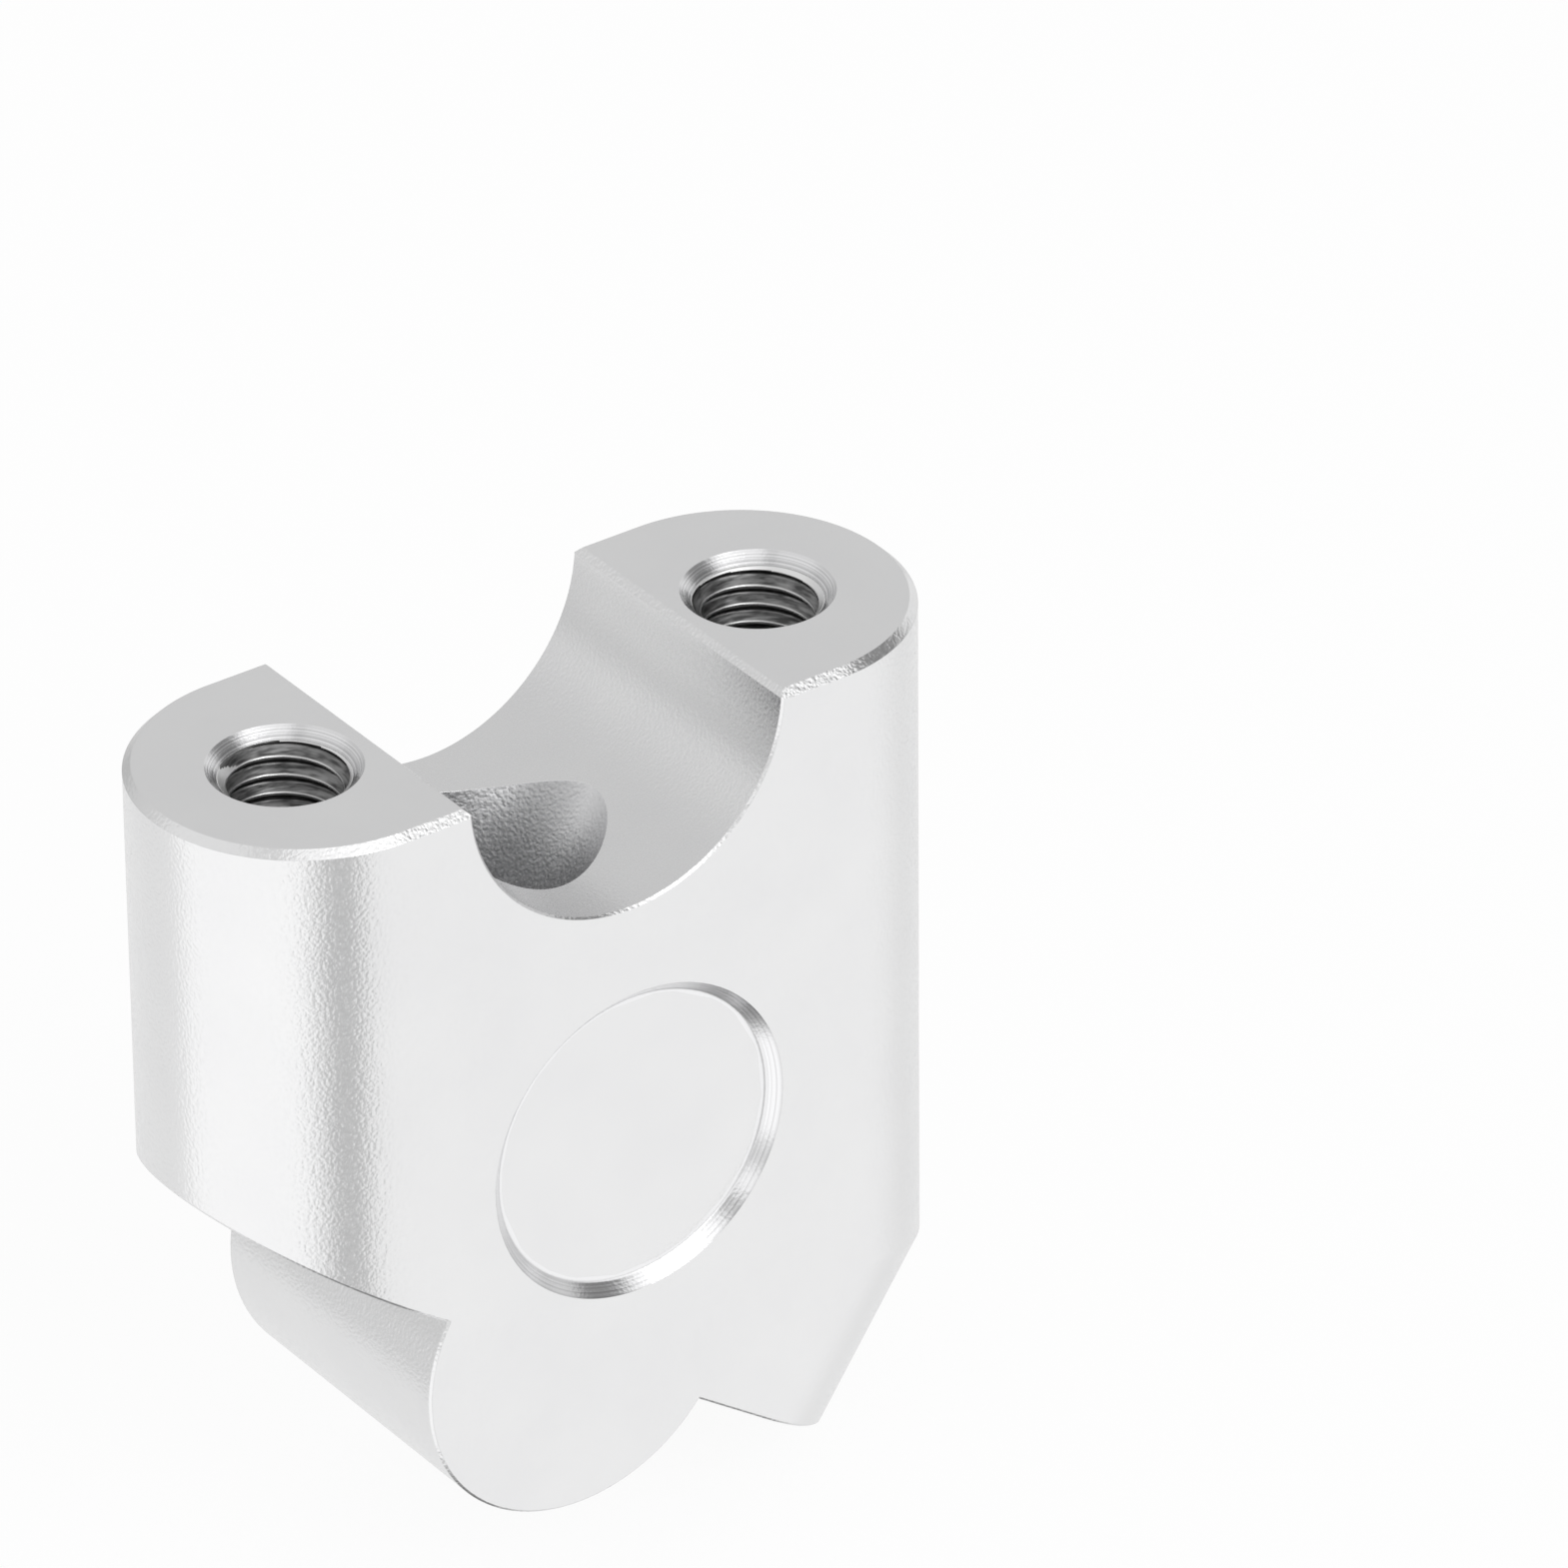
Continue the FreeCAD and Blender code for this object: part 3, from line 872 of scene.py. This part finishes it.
@dataclass
class Studio:
    """White cove round the riser, with a pale floor and a soft lamp in front of the riser.

    The levels are shares of full white, straight below, in the lower half and in the upper half. Lengths
    are in metres, and the blend is the upright part of a direction over which one level turns to the next.
    """

    floor_side: float = 4.0
    floor_colour: str = "#f7f7f7"
    floor_lift: float = 0.92
    lamp_side: float = 0.5
    lamp_distance: float = 0.9
    lamp_power: float = 1.5
    lamp_towards: tuple[float, float, float] = (0.14, -0.83, 0.54)
    lower_level: float = 0.93
    upper_level: float = 0.73
    nadir_level: float = 0.25
    nadir_top: float = -0.86
    blend: float = 0.15
    patches: tuple[Patch, ...] = (
        Patch(azimuth=-74, half_width=34, softness=22, lowest=-1.0, highest=0.0, gain=0.14),
        Patch(azimuth=-23, half_width=11, softness=4, lowest=-1.0, highest=0.0, gain=-0.35),
        Patch(azimuth=43, half_width=43, softness=6, lowest=-1.0, highest=0.0, gain=0.28),
        Patch(azimuth=-35, half_width=48, softness=10, lowest=0.1, highest=1.0, gain=0.62),
        Patch(azimuth=71, half_width=32, softness=9, lowest=0.1, highest=1.0, gain=0.25),
        Patch(azimuth=0, half_width=9, softness=5, lowest=0.34, highest=0.66, gain=-0.6),
        Patch(azimuth=-107, half_width=20, softness=5, lowest=0.25, highest=0.85, gain=-0.65),
        Patch(azimuth=-147, half_width=20, softness=8, lowest=-0.3, highest=0.35, gain=0.35),
        Patch(azimuth=175, half_width=80, softness=20, lowest=-0.5, highest=0.15, gain=-0.24),
        Patch(azimuth=150, half_width=25, softness=10, lowest=-0.25, highest=0.25, gain=-0.15),
    )

    def build_floor(self, level: float) -> None:
        """Lay the floor under the riser; the camera sees it almost white and mirrors see through it.

        Args:
            level: Height of the floor, in metres.
        """
        half = self.floor_side / 2
        corners = [(x, y, level) for x, y in ((-half, -half), (half, -half), (half, half), (-half, half))]
        data = bpy.data.meshes.new("floor")
        data.from_pydata(corners, [], [(0, 1, 2, 3)])
        floor = bpy.data.objects.new("floor", data)
        bpy.context.scene.collection.objects.link(floor)
        material = bpy.data.materials.new("matt_white_floor")
        material.use_nodes = True
        tree = material.node_tree
        tree.nodes.clear()
        ray = add_node(tree, "ShaderNodeLightPath").outputs
        paint = add_node(tree, "ShaderNodeBsdfDiffuse", {"Color": linear(self.floor_colour)})
        glow = add_node(tree, "ShaderNodeEmission", {"Color": linear("#ffffff"), "Strength": 1.0})
        clear = add_node(tree, "ShaderNodeBsdfTransparent")
        lift = add_node(
            tree, "ShaderNodeMath", {0: ray["Is Camera Ray"], 1: self.floor_lift}, operation="MULTIPLY")
        seen = add_node(tree, "ShaderNodeMixShader", {
            0: lift.outputs[0], 1: paint.outputs[0], 2: glow.outputs[0]})
        mirrored = add_node(tree, "ShaderNodeMath", {
            0: ray["Is Glossy Ray"], 1: ray["Is Transmission Ray"]}, operation="MAXIMUM")
        whole = add_node(tree, "ShaderNodeMixShader", {
            0: mirrored.outputs[0], 1: seen.outputs[0], 2: clear.outputs[0]})
        add_node(tree, "ShaderNodeOutputMaterial", {"Surface": whole.outputs[0]})
        data.materials.append(material)

    def build_cove(self, camera_azimuth: float) -> None:
        """Light the riser from all round with the cove's bright and dark parts.

        Args:
            camera_azimuth: Direction that the camera looks, from +Y towards +X, in degrees.
        """
        world = bpy.data.worlds.new("white_cove")
        world.use_nodes = True
        bpy.context.scene.world = world
        tree = world.node_tree
        tree.nodes.clear()
        direction = add_node(tree, "ShaderNodeTexCoord").outputs["Generated"]
        flat = add_node(
            tree, "ShaderNodeVectorMath", {0: direction, 1: (1, 1, 0)}, operation="MULTIPLY")
        heading = add_node(tree, "ShaderNodeVectorMath", {0: flat.outputs[0]}, operation="NORMALIZE")
        known = {
            "upright": add_node(tree, "ShaderNodeSeparateXYZ", {0: direction}).outputs["Z"],
            "seen": add_node(tree, "ShaderNodeLightPath").outputs["Is Camera Ray"],
        }
        add_formula(tree, known, (
            ("lower", Step.EASE, "upright", -1.0, self.nadir_top, self.nadir_level, self.lower_level),
            ("above", Step.EASE, "upright", -self.blend, self.blend, 0.0, 1.0),
            ("level", Step.MIX, "above", "lower", self.upper_level),
        ))
        for patch in self.patches:
            azimuth = math.radians(camera_azimuth + 180 + patch.azimuth)
            centre = (math.sin(azimuth), math.cos(azimuth), 0)
            facing = add_node(
                tree, "ShaderNodeVectorMath", {0: heading.outputs[0], 1: centre}, operation="DOT_PRODUCT")
            known["facing"] = facing.outputs["Value"]
            outer = math.cos(math.radians(patch.half_width + patch.softness))
            inner = math.cos(math.radians(patch.half_width - patch.softness))
            add_formula(tree, known, (
                ("across", Step.EASE, "facing", outer, inner, 0.0, 1.0),
                ("bottom", Step.EASE, "upright", patch.lowest, patch.lowest + self.blend, 0.0, 1.0),
                ("top", Step.EASE, "upright", patch.highest - self.blend, patch.highest, 1.0, 0.0),
                ("band", Step.MULTIPLY, "bottom", "top"),
                ("mask", Step.MULTIPLY, "across", "band"),
                ("change", Step.MULTIPLY, "mask", patch.gain),
                ("factor", Step.ADD, "change", 1.0),
                ("level", Step.MULTIPLY, "level", "factor"),
            ))
        add_formula(tree, known, (("strength", Step.MIX, "seen", "level", 1.0),))
        sky = add_node(tree, "ShaderNodeBackground", {
            "Color": linear("#ffffff"), "Strength": known["strength"]})
        add_node(tree, "ShaderNodeOutputWorld", {"Surface": sky.outputs[0]})

    def build_lamp(self, target: Vector) -> None:
        """Hang the soft lamp in front of the riser.

        Args:
            target: Spot that the lamp points at.
        """
        light = bpy.data.lights.new("soft_box", "AREA")
        light.shape = "SQUARE"
        light.size = self.lamp_side
        light.energy = self.lamp_power
        lamp = bpy.data.objects.new("soft_box", light)
        bpy.context.scene.collection.objects.link(lamp)
        towards = Vector(self.lamp_towards).normalized()
        lamp.location = target + towards * self.lamp_distance
        lamp.rotation_euler = towards.to_track_quat("Z", "Y").to_euler()


@dataclass(frozen=True)
class ProductCamera:
    """Camera that looks down on the riser from its front left, from far off with a long lens.

    Angles are in degrees and lengths in millimetres.
    """

    azimuth: float = 35.606
    elevation: float = 31.303
    roll: float = 0.49
    distance: float = 811.04
    aim: tuple[float, float, float] = (21.763, -1.405, 26.948)
    lens: float = 310.43
    sensor: float = 36.0
    farthest: float = 20000.0

    def build(self) -> bpy.types.Object:
        """Set up the camera and make it the scene's own.

        Returns:
            The camera object.
        """
        turn, tilt, roll = (math.radians(angle) for angle in (self.azimuth, self.elevation, self.roll))
        ahead = Vector((math.sin(turn) * math.cos(tilt), math.cos(turn) * math.cos(tilt), -math.sin(tilt)))
        level = Vector((math.cos(turn), -math.sin(turn), 0))
        upright = level.cross(ahead)
        right = level * math.cos(roll) - upright * math.sin(roll)
        above = level * math.sin(roll) + upright * math.cos(roll)
        data = bpy.data.cameras.new("product_camera")
        data.lens = self.lens
        data.sensor_width = self.sensor
        data.clip_end = self.farthest * MM
        camera = bpy.data.objects.new("product_camera", data)
        bpy.context.scene.collection.objects.link(camera)
        turned = Matrix((right, above, -ahead)).transposed().to_4x4()
        turned.translation = (Vector(self.aim) - ahead * self.distance) * MM
        camera.matrix_world = turned
        bpy.context.scene.camera = camera
        return camera


def main() -> None:
    """Build the riser, its threads, the studio and the camera in order."""
    logging.basicConfig(level=logging.INFO, format="%(name)s %(message)s")
    bpy.context.scene.view_settings.view_transform = "Standard"
    riser = MilledRiser()
    riser.dress(riser.build())
    finish = ThreadAnodise().build()
    turns = {"front_cap_thread": 0.38, "rear_cap_thread": 0.64}
    threads = [
        CapThread(name, hole, turn, riser.top, riser.countersink_radius)
        for (name, turn), hole in zip(turns.items(), CAP_THREADS)
    ]
    tree = threads[0].tree()
    for thread in threads:
        thread.build(tree, finish)
    low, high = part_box(CAD_NODE)
    camera = ProductCamera()
    camera.build()
    studio = Studio()
    studio.build_floor(low.z)
    studio.build_cove(camera.azimuth)
    studio.build_lamp((low + high) / 2)
    log.info("studio and camera are set")


if __name__ == "__main__":
    main()
